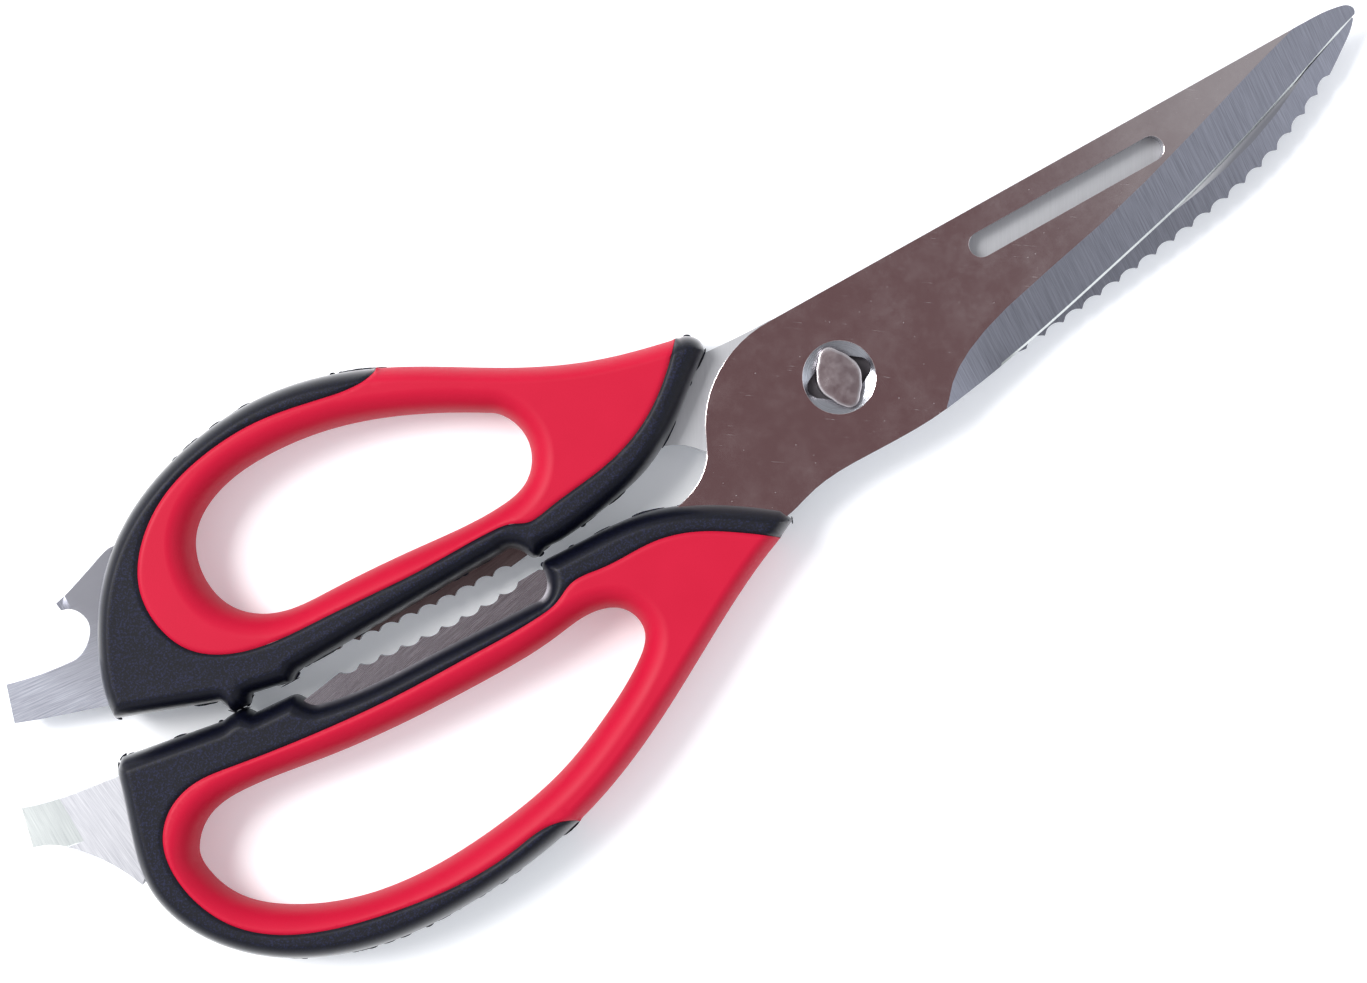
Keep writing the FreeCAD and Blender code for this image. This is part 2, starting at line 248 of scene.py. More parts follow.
def section(node, height):
    """Closed loops, in mm, where a level plane cuts a CAD node."""
    mesh = frame["nodes"][node].data
    points = np.empty(len(mesh.vertices) * 3)
    mesh.vertices.foreach_get("co", points)
    mesh.calc_loop_triangles()
    corners = np.empty(len(mesh.loop_triangles) * 3, int)
    mesh.loop_triangles.foreach_get("vertices", corners)
    places, welded = np.unique(np.round(points.reshape(-1, 3) / MM, 4), axis=0,
                               return_inverse=True)
    triangles = welded.reshape(-1)[corners].reshape(-1, 3)
    above = places[:, 2] > height / MM
    cut = triangles[(above[triangles].any(1)) & (~above[triangles].all(1))]
    links = {}
    for triangle in cut:
        ends = [tuple(sorted((a, b))) for a, b in zip(triangle, np.roll(triangle, -1))
                if above[a] != above[b]]
        links.setdefault(ends[0], []).append(ends[1])
        links.setdefault(ends[1], []).append(ends[0])
    loops = []
    while links:
        start = next(iter(links))
        chain = [start]
        while links.get(chain[-1]):
            follower = links[chain[-1]].pop()
            links[follower].remove(chain[-1])
            chain.append(follower)
        for edge in chain:
            links.pop(edge, None)
        low, high = places[[e[0] for e in chain]], places[[e[1] for e in chain]]
        share = (height / MM - low[:, 2]) / (high[:, 2] - low[:, 2])
        loops.append((low + (high - low) * share[:, None])[:-1, :2])
    return loops


def thinned(loop):
    """The loop without the points that lie on a straight line between their neighbours."""
    keep = loop
    while True:
        before, after = np.roll(keep, 1, 0), np.roll(keep, -1, 0)
        chord = after - before
        length = np.maximum(np.hypot(chord[:, 0], chord[:, 1]), 1e-9)
        offset = keep - before
        off = np.abs(chord[:, 0] * offset[:, 1] - chord[:, 1] * offset[:, 0]) / length
        loose = off < straight_within
        loose[1::2] &= ~np.roll(loose, 1)[1::2]
        loose[0::2] &= ~(loose[1::2].any() and np.roll(loose, -1)[0::2])
        if not loose.any():
            return keep
        keep = keep[~loose]


def even_loop(loop, step):
    """The loop as a smooth curve between its corners, with evenly spaced points."""
    count = len(loop)
    run = np.roll(loop, -1, 0) - loop
    length = np.hypot(run[:, 0], run[:, 1])
    run = run / length[:, None]
    into, past = np.roll(run, 1, 0), run
    reach_in, reach_past = np.roll(length, 1), length
    tangent = into * reach_past[:, None] + past * reach_in[:, None]
    tangent /= np.hypot(tangent[:, 0], tangent[:, 1])[:, None]
    turn = np.degrees(np.arccos(np.clip((into * past).sum(1), -1, 1)))
    corner = turn > corner_turn
    straight = length > 4 * np.median(length)
    made = []
    for i in range(count):
        j = (i + 1) % count
        leave = run[i] if corner[i] or straight[i] else tangent[i]
        arrive = run[i] if corner[j] or straight[i] else tangent[j]
        if straight[i - 1] and not corner[i]:
            leave = into[i]
        if straight[j] and not corner[j]:
            arrive = run[j]
        pieces = max(1, int(round(length[i] / step)))
        for t in np.arange(pieces) / pieces:
            made.append((2 * t**3 - 3 * t**2 + 1) * loop[i]
                        + (t**3 - 2 * t**2 + t) * leave * length[i]
                        + (3 * t**2 - 2 * t**3) * loop[j]
                        + (t**3 - t**2) * arrive * length[i])
    return np.array(made)


def area(loop):
    """Signed area: positive where the loop runs anticlockwise."""
    x, y = loop[:, 0], loop[:, 1]
    return (x * np.roll(y, -1) - y * np.roll(x, -1)).sum() / 2


def apart(points, loops_or_runs):
    """Distance of each point from the nearest of the given segments."""
    starts = np.concatenate([run[0] for run in loops_or_runs])
    ends = np.concatenate([run[1] for run in loops_or_runs])
    along = ends - starts
    square = np.maximum((along**2).sum(1), 1e-12)
    nearest = np.empty(len(points))
    for first in range(0, len(points), 1500):
        part = points[first:first + 1500, None, :]
        share = np.clip(((part - starts) * along).sum(2) / square, 0, 1)
        gap = part - (starts + share[..., None] * along)
        nearest[first:first + 1500] = np.sqrt((gap**2).sum(2).min(1))
    return nearest


def within(points, loops):
    """True for each point inside an odd number of the loops."""
    inside = np.zeros(len(points), bool)
    for loop in loops:
        ax, ay = loop[:, 0], loop[:, 1]
        bx, by = np.roll(ax, -1), np.roll(ay, -1)
        for first in range(0, len(points), 1500):
            px = points[first:first + 1500, 0, None]
            py = points[first:first + 1500, 1, None]
            crossing = (ay > py) != (by > py)
            reach = (bx - ax) * (py - ay) / np.where(by == ay, 1e-12, by - ay) + ax
            inside[first:first + 1500] ^= (crossing & (px < reach)).sum(1) % 2 == 1
    return inside


def segments(loop, chosen=None):
    """Starts and ends of the loop's straight steps, or only of those between chosen points."""
    ends = np.roll(loop, -1, 0)
    if chosen is None:
        return loop, ends
    both = chosen & np.roll(chosen, -1)
    return loop[both], ends[both]


def inward(loop):
    """Unit normals that point into the material, which lies to the left of the loop."""
    before, after = np.roll(loop, 1, 0), np.roll(loop, -1, 0)
    along = (after - loop) / np.hypot(*(after - loop).T)[:, None]
    along += (loop - before) / np.hypot(*(loop - before).T)[:, None]
    along /= np.hypot(*along.T)[:, None]
    return np.stack([-along[:, 1], along[:, 0]], 1)


def moulding_outlines(black, red):
    """Both colours' loops with what each point meets: open air (rim) or the other colour."""
    loops = {}
    for node in (black, red):
        found = [even_loop(thinned(loop), rim_step) for loop in section(node, clear_of_tangs)]
        found.sort(key=lambda loop: -abs(area(loop)))
        loops[node] = [loop if (area(loop) > 0) == (i == 0) else loop[::-1]
                       for i, loop in enumerate(found) if abs(area(loop)) > smallest_loop]
    seams = {}
    for node, other in ((black, red), (red, black)):
        against = [segments(loop) for loop in loops[other]]
        seams[node] = [apart(loop, against) < seam_reach for loop in loops[node]]
    return loops, seams


def flat_skin(name, loops, seams, outer_rims, finger_rims, seam_runs):
    """A level triangle mesh of one colour, with the depths that the moulded form reads."""
    def depth_at(points):
        outer = apart(points, outer_rims) / outer_roll
        finger = apart(points, finger_rims) / finger_roll
        return np.minimum(outer, finger)

    edge_points, edge_links, columns = [], [], []
    rows = []
    for loop, seam in zip(loops, seams):
        normal = inward(loop)
        inset = np.where(seam, seam_inset, rolls[0] * outer_roll)
        brink = loop + normal * inset[:, None]
        start = sum(len(p) for p in edge_points)
        count = len(loop)
        edge_points.append(brink)
        edge_links += [(start + i, start + (i + 1) % count) for i in range(count)]
        columns.append((loop, normal, seam))
        for share in rolls[1:]:
            for roll in (outer_roll, finger_roll):
                offset = loop[~seam] + normal[~seam] * share * roll
                on_roll = np.abs(depth_at(offset) - share) < roll_match * share
                rows.append(offset[on_roll & (apart(offset, seam_runs) > seam_clearance)])
        for reach in seam_rows:
            offset = loop[seam] + normal[seam] * reach
            on_row = apart(offset, seam_runs) > row_match * reach
            rows.append(offset[on_row & (depth_at(offset) > rim_clearance)])
    low, high = loops[0].min(0), loops[0].max(0)
    columns_x = np.arange(low[0], high[0], inside_step)
    rows_y = np.arange(low[1], high[1], inside_row)
    inside = np.array([(x + (k % 2) * inside_step / 2, y)
                       for k, y in enumerate(rows_y) for x in columns_x])
    flat = (depth_at(inside) > flat_from) & (apart(inside, seam_runs) > flat_off_seam)
    rows.append(inside[flat])
    loose = np.concatenate(rows)
    loose = loose[within(loose, edge_points)]
    cells = np.unique(np.floor(loose / closest_points).astype(int), axis=0,
                      return_index=True)[1]
    loose = loose[np.sort(cells)]
    rim_points = np.concatenate(edge_points)
    brink_runs = [(rim_points[[a for a, b in edge_links]], rim_points[[b for a, b in edge_links]])]
    loose = loose[apart(loose, brink_runs) > closest_to_brink]
    given = np.concatenate([rim_points, loose])
    made, _, faces, sources, _, _ = delaunay_2d_cdt([Vector(p) for p in given], edge_links, [],
                                                     0, 1e-6)
    plane = np.array([(v.x, v.y) for v in made])
    middles = np.array([plane[list(f)].mean(0) for f in faces])
    kept = within(middles, edge_points)
    faces = [tuple(f) for f, good in zip(faces, kept) if good]
    depth = depth_at(plane)
    seam_gap = apart(plane, seam_runs)
    stands_for = {}
    for index, origin in enumerate(sources):
        for source in origin:
            stands_for[source] = index
    vertices, depths, gaps, levels = list(plane), list(depth), list(seam_gap), [1.0] * len(plane)
    start = 0
    for loop, normal, seam in columns:
        count = len(loop)
        ladder = []
        top = [stands_for[start + i] for i in range(count)]
        shallow = depth_at(loop + normal * seam_inset)
        for step in range(4):
            ladder.append(list(range(len(vertices), len(vertices) + count)))
            for i in range(count):
                if seam[i]:
                    vertices.append(loop[i] + normal[i] * seam_inset)
                    depths.append(shallow[i])
                    gaps.append(0.0)
                    levels.append(step / 4)
                else:
                    vertices.append(loop[i] + normal[i] * rim_insets[step])
                    depths.append(rim_depths[step])
                    gaps.append(far_off_seam)
                    levels.append(float(step > 0))
        ladder.append(top)
        for lower, upper in zip(ladder, ladder[1:]):
            for i in range(count):
                j = (i + 1) % count
                faces.append((lower[i], lower[j], upper[j], upper[i]))
        start += count
    mesh = bpy.data.meshes.new(name)
    mesh.from_pydata([(x * MM, y * MM, middle_z) for x, y in vertices], [], faces)
    for attribute, values in (("depth", depths), ("seam", gaps), ("level", levels)):
        layer = mesh.attributes.new(attribute, "FLOAT", "POINT")
        layer.data.foreach_set("value", np.array(values, np.float32))
    return mesh


def moulded_form_tree():
    """Lifts a level skin to the handle's pillow form and mirrors it below the parting line."""
    tree = bpy.data.node_groups.new("moulded form", "GeometryNodeTree")
    face = tree.interface
    face.new_socket("Geometry", in_out="INPUT", socket_type="NodeSocketGeometry")
    for title in ("Half Thickness", "Roundness", "Ridge", "Groove Depth", "Groove Width"):
        face.new_socket(title, in_out="INPUT", socket_type="NodeSocketFloat")
    face.new_socket("Material", in_out="INPUT", socket_type="NodeSocketMaterial")
    face.new_socket("Geometry", in_out="OUTPUT", socket_type="NodeSocketGeometry")
    entry = tree.nodes.new("NodeGroupInput")
    given = {pin.name: Field(tree, pin) for pin in entry.outputs if pin.name}

    def attribute(title):
        return add(tree, "GeometryNodeInputNamedAttribute", {"data_type": "FLOAT"},
                   {"Name": title})

    depth, seam, level = attribute("depth"), attribute("seam"), attribute("level")
    power, ridge = given["Roundness"], given["Ridge"]

    def roll(share):
        return (1.0 - (1.0 - share) ** power) ** (1.0 / power)

    rise = roll(depth.math("MINIMUM", ridge)) / roll(ridge)
    off_seam = seam / given["Groove Width"]
    groove = given["Groove Depth"] * (off_seam ** 2.0 * -1.0).math("EXPONENT")
    lift = level * (given["Half Thickness"] * rise - groove * rise)
    up = add(tree, "ShaderNodeCombineXYZ", inputs={"Z": lift})
    down = add(tree, "ShaderNodeCombineXYZ", inputs={"Z": -lift})
    top = add(tree, "GeometryNodeSetPosition",
              inputs={"Geometry": given["Geometry"], "Offset": up})
    under = add(tree, "GeometryNodeSetPosition",
                inputs={"Geometry": given["Geometry"], "Offset": down})
    under = add(tree, "GeometryNodeFlipFaces", inputs={"Mesh": under})
    both = tree.nodes.new("GeometryNodeJoinGeometry")
    tree.links.new(under.socket, both.inputs[0])
    tree.links.new(top.socket, both.inputs[0])
    closed = add(tree, "GeometryNodeMergeByDistance",
                 inputs={"Geometry": Field(tree, both.outputs[0]), "Distance": 1e-6})
    smooth = add(tree, "GeometryNodeSetShadeSmooth", inputs={"Geometry": closed})
    solid = add(tree, "GeometryNodeRealizeInstances", inputs={"Geometry": smooth})
    painted = add(tree, "GeometryNodeSetMaterial",
                  inputs={"Geometry": solid, "Material": given["Material"]})
    leave = tree.nodes.new("NodeGroupOutput")
    tree.links.new(painted.socket, leave.inputs[0])
    return tree


def grown(name, mesh, tree, values, material):
    """The plain mesh that a Geometry Nodes tree makes of a starting mesh."""
    seed = bpy.data.objects.new(name + "_seed", mesh)
    scene.collection.objects.link(seed)
    modifier = seed.modifiers.new("form", "NODES")
    modifier.node_group = tree
    for item in tree.interface.items_tree:
        if item.in_out == "INPUT" and item.name in values:
            modifier[item.identifier] = values[item.name]
        elif item.in_out == "INPUT" and item.name == "Material":
            modifier[item.identifier] = material
    evaluated = seed.evaluated_get(bpy.context.evaluated_depsgraph_get())
    made = bpy.data.meshes.new_from_object(evaluated)
    made.name = name
    bpy.data.objects.remove(seed)
    piece = bpy.data.objects.new(name, made)
    scene.collection.objects.link(piece)
    return piece


def object_mm(tree):
    """Object coordinates in millimetres."""
    place = add(tree, "ShaderNodeTexCoord", out=3)
    return add(tree, "ShaderNodeVectorMath", {"operation": "SCALE"},
               {"Vector": place, "Scale": 1000.0})


def new_finish(name):
    """A material with its tree and its one Principled shader."""
    finish = bpy.data.materials.new(name)
    finish.use_nodes = True
    return finish, finish.node_tree, finish.node_tree.nodes["Principled BSDF"]


def black_plastic():
    """Hard plastic, finely speckled on its flat faces, with a sheen on its turned edges."""
    finish, tree, shader = new_finish("black_plastic")
    place = object_mm(tree)
    speck = add(tree, "ShaderNodeTexNoise", None, {"Vector": place, "Scale": 3.6, "Detail": 2.0,
                                                   "Roughness": 0.65})
    cloud = add(tree, "ShaderNodeTexNoise", None, {"Vector": place, "Scale": 0.12, "Detail": 3.0})
    normal = add(tree, "ShaderNodeNewGeometry", out=1)
    lean = add(tree, "ShaderNodeSeparateXYZ", inputs={"Vector": normal}, out=2).math("ABSOLUTE")
    flat = ((lean - 0.9) * 12.0).clamped()
    light = ((speck - 0.48) * 5.0).clamped() * (0.35 + 0.65 * flat)
    tone = blend_colours(tree, light, (0.0008, 0.0012, 0.0050), (0.0095, 0.0120, 0.040))
    plug(tree, shader.inputs["Base Color"], tone)
    plug(tree, shader.inputs["Roughness"], 0.38 + 0.16 * flat + 0.1 * cloud)
    relief = add(tree, "ShaderNodeBump", None, {"Strength": 0.45, "Distance": 0.03 * MM,
                                                "Height": speck * (0.3 + 0.7 * flat)})
    plug(tree, shader.inputs["Normal"], relief)
    shader.inputs["Specular IOR Level"].default_value = 0.25
    grazing = add(tree, "ShaderNodeLayerWeight", inputs={"Blend": 0.5}, out=1)
    plug(tree, shader.inputs["Coat Weight"], (grazing ** 3.0 * 1.3).clamped())
    shader.inputs["Coat Roughness"].default_value = 0.28
    return finish


def red_rubber():
    """Soft rubber with a fine grain."""
    finish, tree, shader = new_finish("red_rubber")
    place = object_mm(tree)
    grain = add(tree, "ShaderNodeTexNoise", None, {"Vector": place, "Scale": 5.0, "Detail": 2.0,
                                                   "Roughness": 0.6})
    cloud = add(tree, "ShaderNodeTexNoise", None, {"Vector": place, "Scale": 0.15, "Detail": 2.0})
    tone = blend_colours(tree, (grain * 0.6 + cloud * 0.4), (0.40, 0.0015, 0.022),
                         (0.49, 0.003, 0.032))
    plug(tree, shader.inputs["Base Color"], tone)
    plug(tree, shader.inputs["Roughness"], 0.46 + 0.12 * cloud)
    relief = add(tree, "ShaderNodeBump", None, {"Strength": 0.5, "Distance": 0.025 * MM,
                                                "Height": grain})
    plug(tree, shader.inputs["Normal"], relief)
    shader.inputs["Specular IOR Level"].default_value = 0.2
    return finish


black_finish, red_finish = black_plastic(), red_rubber()
moulded_form = moulded_form_tree()


def flash_tree():
    """Thin slivers of plastic, left at random places along the mould's parting line."""
    tree = bpy.data.node_groups.new("flash", "GeometryNodeTree")
    face = tree.interface
    face.new_socket("Geometry", in_out="INPUT", socket_type="NodeSocketGeometry")
    for title in ("Spacing", "Share", "Half Length", "Width", "Thickness"):
        face.new_socket(title, in_out="INPUT", socket_type="NodeSocketFloat")
    face.new_socket("Seed", in_out="INPUT", socket_type="NodeSocketInt")
    face.new_socket("Material", in_out="INPUT", socket_type="NodeSocketMaterial")
    face.new_socket("Geometry", in_out="OUTPUT", socket_type="NodeSocketGeometry")
    entry = tree.nodes.new("NodeGroupInput")
    given = {pin.name: Field(tree, pin) for pin in entry.outputs if pin.name}
    line = add(tree, "GeometryNodeMeshToCurve", inputs={"Mesh": given["Geometry"]})
    marks = add(tree, "GeometryNodeResampleCurve", {"mode": "LENGTH"},
                {"Curve": line, "Length": given["Spacing"]})
    chosen = add(tree, "FunctionNodeRandomValue", {"data_type": "BOOLEAN"},
                 {"Probability": given["Share"], "Seed": given["Seed"]}, out=3)
    sliver = add(tree, "GeometryNodeMeshCylinder",
                 inputs={"Vertices": 9, "Radius": 1.0, "Depth": 1.0})
    along = add(tree, "GeometryNodeInputTangent")
    turned = add(tree, "FunctionNodeAlignRotationToVector", {"axis": "X", "pivot_axis": "Z"},
                 {"Vector": along})
    largest = add(tree, "ShaderNodeCombineXYZ",
                  inputs={"X": given["Half Length"], "Y": given["Width"],
                          "Z": given["Thickness"]})
    smallest = add(tree, "ShaderNodeVectorMath", {"operation": "MULTIPLY"},
                   {0: largest, 1: (0.2, 0.25, 0.6)})
    size = add(tree, "FunctionNodeRandomValue", {"data_type": "FLOAT_VECTOR"},
               {"Min": smallest, "Max": largest, "Seed": given["Seed"] + 1.0})
    slivers = add(tree, "GeometryNodeInstanceOnPoints",
                  inputs={"Points": marks, "Selection": chosen, "Instance": sliver,
                          "Rotation": turned, "Scale": size})
    solid = add(tree, "GeometryNodeRealizeInstances", inputs={"Geometry": slivers})
    painted = add(tree, "GeometryNodeSetMaterial",
                  inputs={"Geometry": solid, "Material": given["Material"]})
    leave = tree.nodes.new("NodeGroupOutput")
    tree.links.new(painted.socket, leave.inputs[0])
    return tree


flash = flash_tree()


def mould_handle(body, black, red):
    """Both mouldings of one half of the shears."""
    loops, seams = moulding_outlines(black, red)
    outer_rims = [segments(loops[node][0], ~seams[node][0]) for node in (black, red)]
    seam_runs = [segments(loops[black][0], seams[black][0])]
    finger_rims = [segments(loops[red][1])]
    for node, finish, slot in ((black, black_finish, "black_moulding"),
                               (red, red_finish, "red_grip")):
        skin = flat_skin(node, loops[node], seams[node], outer_rims, finger_rims, seam_runs)
        piece = grown(node + "_form", skin, moulded_form,
                      {"Half Thickness": half_thickness, "Roundness": 2.2, "Ridge": 0.8,
                       "Groove Depth": 0.3 * MM, "Groove Width": 0.28}, finish)
        piece.data.set_sharp_from_angle(angle=radians(50))
        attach(piece, body)
        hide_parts(node)
    starts, ends = segments(loops[black][0], ~seams[black][0])
    line = bpy.data.meshes.new("parting line")
    corners = [(x * MM, y * MM, middle_z) for pair in zip(starts, ends) for x, y in pair]
    line.from_pydata(corners, [(2 * i, 2 * i + 1) for i in range(len(starts))], [])
    shape = bmesh.new()
    shape.from_mesh(line)
    bmesh.ops.remove_doubles(shape, verts=shape.verts, dist=0.001 * MM)
    shape.to_mesh(line)
    shape.free()
    slivers = grown(black + "_flash", line, flash,
                    {"Spacing": 1.3 * MM, "Share": 0.3, "Half Length": 1.9 * MM,
                     "Width": 0.32 * MM, "Thickness": 0.16 * MM, "Seed": len(black)},
                    black_finish)
    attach(slivers, body)


mould_handle("rear_half", "rear_handle", "rear_grip")
mould_handle("front_half", "front_handle", "front_grip")


# ---- Front blade: one steel stamping, polished like a mirror, that carries the cutting
# edge, the jaw teeth and the lid lifter at the end of its tang. A slot lightens it, and a
# round seat is milled round the keyhole through which it drops over the stud.
# Places and reaches along the blades are in mm; the limits are those of a normal's Z.
seat_radius, seat_zone = 5.5, 6.0
seat_rim_width = 0.06
seat_dish = 0.45 * MM
rim_break = 0.05 * MM
honing = 0.34 * MM
tang_starts, lifter_starts = -20.0, -84.0
jaws_span = (-82.0, -22.0)
tip_zone = 104.0
wall_limit, ground_limit, flat_limit, dead_flat = 0.15, 0.85, 0.99, 0.9995


def joined_copy(node):
    """A blade's own shape as one closed bmesh, its loose triangles welded."""
    shape = bmesh.new()
    shape.from_mesh(frame["nodes"][node].data)
    bmesh.ops.remove_doubles(shape, verts=shape.verts, dist=0.002 * MM)
    return shape


def cut_across(shape, *places):
    """Splits the faces at these places along X, where one finish gives way to another."""
    for place in places:
        bmesh.ops.bisect_plane(shape, geom=[*shape.verts, *shape.edges, *shape.faces],
                               dist=1e-7, plane_co=(place * MM, 0, 0), plane_no=(1, 0, 0))
    shape.normal_update()


def flats_joined(shape):
    """Triangles of one flat face become one face."""
    bmesh.ops.dissolve_limit(shape, angle_limit=radians(0.4), verts=shape.verts,
                             edges=shape.edges, delimit={"MATERIAL"})
    shape.normal_update()


def is_wall(face):
    return abs(face.normal.z) < wall_limit


def is_ground(face):
    return ground_limit < abs(face.normal.z) < flat_limit


def is_flat(face):
    return abs(face.normal.z) > flat_limit


def clear_of_teeth(edge, face_z):
    """True for the rims of the upper face that are neither in the jaws nor near the tip."""
    middle = (edge.verts[0].co + edge.verts[1].co) / 2
    in_jaws = jaws_span[0] < middle.x / MM < jaws_span[1]
    by_tip = middle.x / MM > tip_zone
    return abs(middle.z - face_z) < 0.05 * MM and not in_jaws and not by_tip


def edges_between(shape, one, other):
    """Edges where a face of one kind meets a face of the other."""
    found = []
    for edge in shape.edges:
        if len(edge.link_faces) == 2:
            a, b = edge.link_faces
            if (one(a) and other(b)) or (one(b) and other(a)):
                found.append(edge)
    return found


def broken(shape, edges, width, steps, finish_number):
    """Breaks sharp edges with a narrow chamfer or round."""
    bmesh.ops.bevel(shape, geom=edges, offset=width, offset_type="OFFSET", segments=steps,
                    profile=0.5, affect="EDGES", clamp_overlap=False, material=finish_number)


def steel_piece(name, shape, finishes, body, node, edge_angle=25):
    """A steel piece whose shading breaks at sharp turns and all round each flat face."""
    shape.normal_update()
    for face in shape.faces:
        face.smooth = True
    for edge in shape.edges:
        flats = sum(abs(face.normal.z) > dead_flat for face in edge.link_faces)
        edge.smooth = flats != 1 and edge.calc_face_angle(pi) < radians(edge_angle)
    mesh = bpy.data.meshes.new(name)
    shape.to_mesh(mesh)
    shape.free()
    for finish in finishes:
        mesh.materials.append(finish)
    piece = bpy.data.objects.new(name, mesh)
    scene.collection.objects.link(piece)
    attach(piece, body)
    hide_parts(node)


def lines(tree, lean, across, length):
    """Fine parallel grinding lines, 0 to 1, that run at an angle from the X axis."""
    place = object_mm(tree)
    turned = add(tree, "ShaderNodeMapping", None,
                 {"Vector": place, "Rotation": (0.0, 0.0, -radians(lean))})
    stretched = add(tree, "ShaderNodeVectorMath", {"operation": "MULTIPLY"},
                    {0: turned, 1: (1.0 / length, 1.0 / across, 0.0)})
    return add(tree, "ShaderNodeTexNoise", None, {"Vector": stretched, "Scale": 1.0,
                                                  "Detail": 3.0, "Roughness": 0.65})


def polished_steel():
    """Mirror polish with faint smears, nicks and hairline scratches."""
    finish, tree, shader = new_finish("polished_steel")
    place = object_mm(tree)
    smear = add(tree, "ShaderNodeTexNoise", None, {"Vector": place, "Scale": 0.15, "Detail": 6.0,
                                                   "Roughness": 0.8})
    speck = add(tree, "ShaderNodeTexNoise", None, {"Vector": place, "Scale": 2.6, "Detail": 1.0})
    fine = lines(tree, 8.0, 0.12, 14.0)
    hair = lines(tree, -34.0, 0.22, 7.0)
    nick = ((speck - 0.77) * 16.0).clamped()
    scratch = ((hair - 0.66) * 12.0).clamped().math("MAXIMUM", nick)
    tone = blend_colours(tree, ((smear - 0.42) * 2.4 + scratch * 0.6).clamped(),
                         (0.58, 0.525, 0.535), (0.67, 0.635, 0.64))
    plug(tree, shader.inputs["Base Color"], tone)
    plug(tree, shader.inputs["Roughness"], 0.13 + 0.07 * ((smear - 0.42) * 2.6).clamped()
         + 0.2 * scratch)
    relief = add(tree, "ShaderNodeBump", None, {"Strength": 0.10, "Distance": 0.01 * MM,
                                                "Height": fine + scratch * 0.6})
    plug(tree, shader.inputs["Normal"], relief)
    shader.inputs["Metallic"].default_value = 1.0
    return finish


def distance_from(tree, x, y):
    """Distance from an upright line at this place, in mm."""
    centred = add(tree, "ShaderNodeVectorMath", {"operation": "SUBTRACT"},
                  {0: object_mm(tree), 1: (x, y, 0.0)})
    flat = add(tree, "ShaderNodeVectorMath", {"operation": "MULTIPLY"},
               {0: centred, 1: (1.0, 1.0, 0.0)})
    return add(tree, "ShaderNodeVectorMath", {"operation": "LENGTH"}, {0: flat}, out=1)


def brushed_steel(name, lean, dark, light, gloss, depth, patches=()):
    """Steel with straight grinding lines: their angle, two tones, roughness and depth.
    Each darker patch is given as its centre and reach in mm, its softness and its painted tone."""
    finish, tree, shader = new_finish(name)
    fine = lines(tree, lean, 0.10, 5.0)
    broad = lines(tree, lean, 0.26, 10.0)
    tone = blend_colours(tree, ((fine * 0.6 + broad * 0.4 - 0.35) * 3.2).clamped(), dark, light)
    for centre, reach, softness, patch_tone in patches:
        near = ((reach - distance_from(tree, *centre)) / softness).clamped()
        tone = blend_colours(tree, near, tone, patch_tone)
    plug(tree, shader.inputs["Base Color"], tone)
    plug(tree, shader.inputs["Roughness"], gloss + 0.16 * (fine - 0.5))
    relief = add(tree, "ShaderNodeBump", None, {"Strength": 0.55, "Distance": depth * MM,
                                                "Height": fine * 0.8 + broad * 0.2})
    plug(tree, shader.inputs["Normal"], relief)
    shader.inputs["Metallic"].default_value = 1.0
    return finish


polished = polished_steel()
ground = brushed_steel("ground_steel", 90.0, (0.150, 0.154, 0.183),
                       (0.272, 0.278, 0.322), 0.36, 0.02)
honed = brushed_steel("honed_steel", 90.0, (0.48, 0.51, 0.51), (0.63, 0.66, 0.65), 0.30, 0.01)
# The front blade's tang and walls are satin steel. Their tone is set darker as painted shade, for
# the jaws that lie in the handles' shade.
tang_satin_and_shade = brushed_steel("tang_satin_steel_painted_shade", 12.0, (0.225, 0.215, 0.24),
                           (0.34, 0.325, 0.355), 0.27, 0.012)
pale_satin = brushed_steel("pale_satin_steel", 96.0, (0.39, 0.40, 0.44), (0.62, 0.63, 0.66),
                           0.44, 0.02)


def turned_steel():
    """Lathe-turned seat: rings round the pivot."""
    finish, tree, shader = new_finish("turned_steel")
    reach = distance_from(tree, pivot.x / MM, pivot.y / MM)
    rings = add(tree, "ShaderNodeTexNoise", {"noise_dimensions": "1D"},
                {"W": reach, "Scale": 7.0, "Detail": 3.0, "Roughness": 0.7})
    tone = blend_colours(tree, rings, (0.22, 0.225, 0.255), (0.42, 0.43, 0.46))
    plug(tree, shader.inputs["Base Color"], tone)
    plug(tree, shader.inputs["Roughness"], 0.18 + 0.14 * rings)
    relief = add(tree, "ShaderNodeBump", None, {"Strength": 0.5, "Distance": 0.03 * MM,
                                                "Height": rings})
    plug(tree, shader.inputs["Normal"], relief)
    shader.inputs["Metallic"].default_value = 1.0
    return finish


turned = turned_steel()


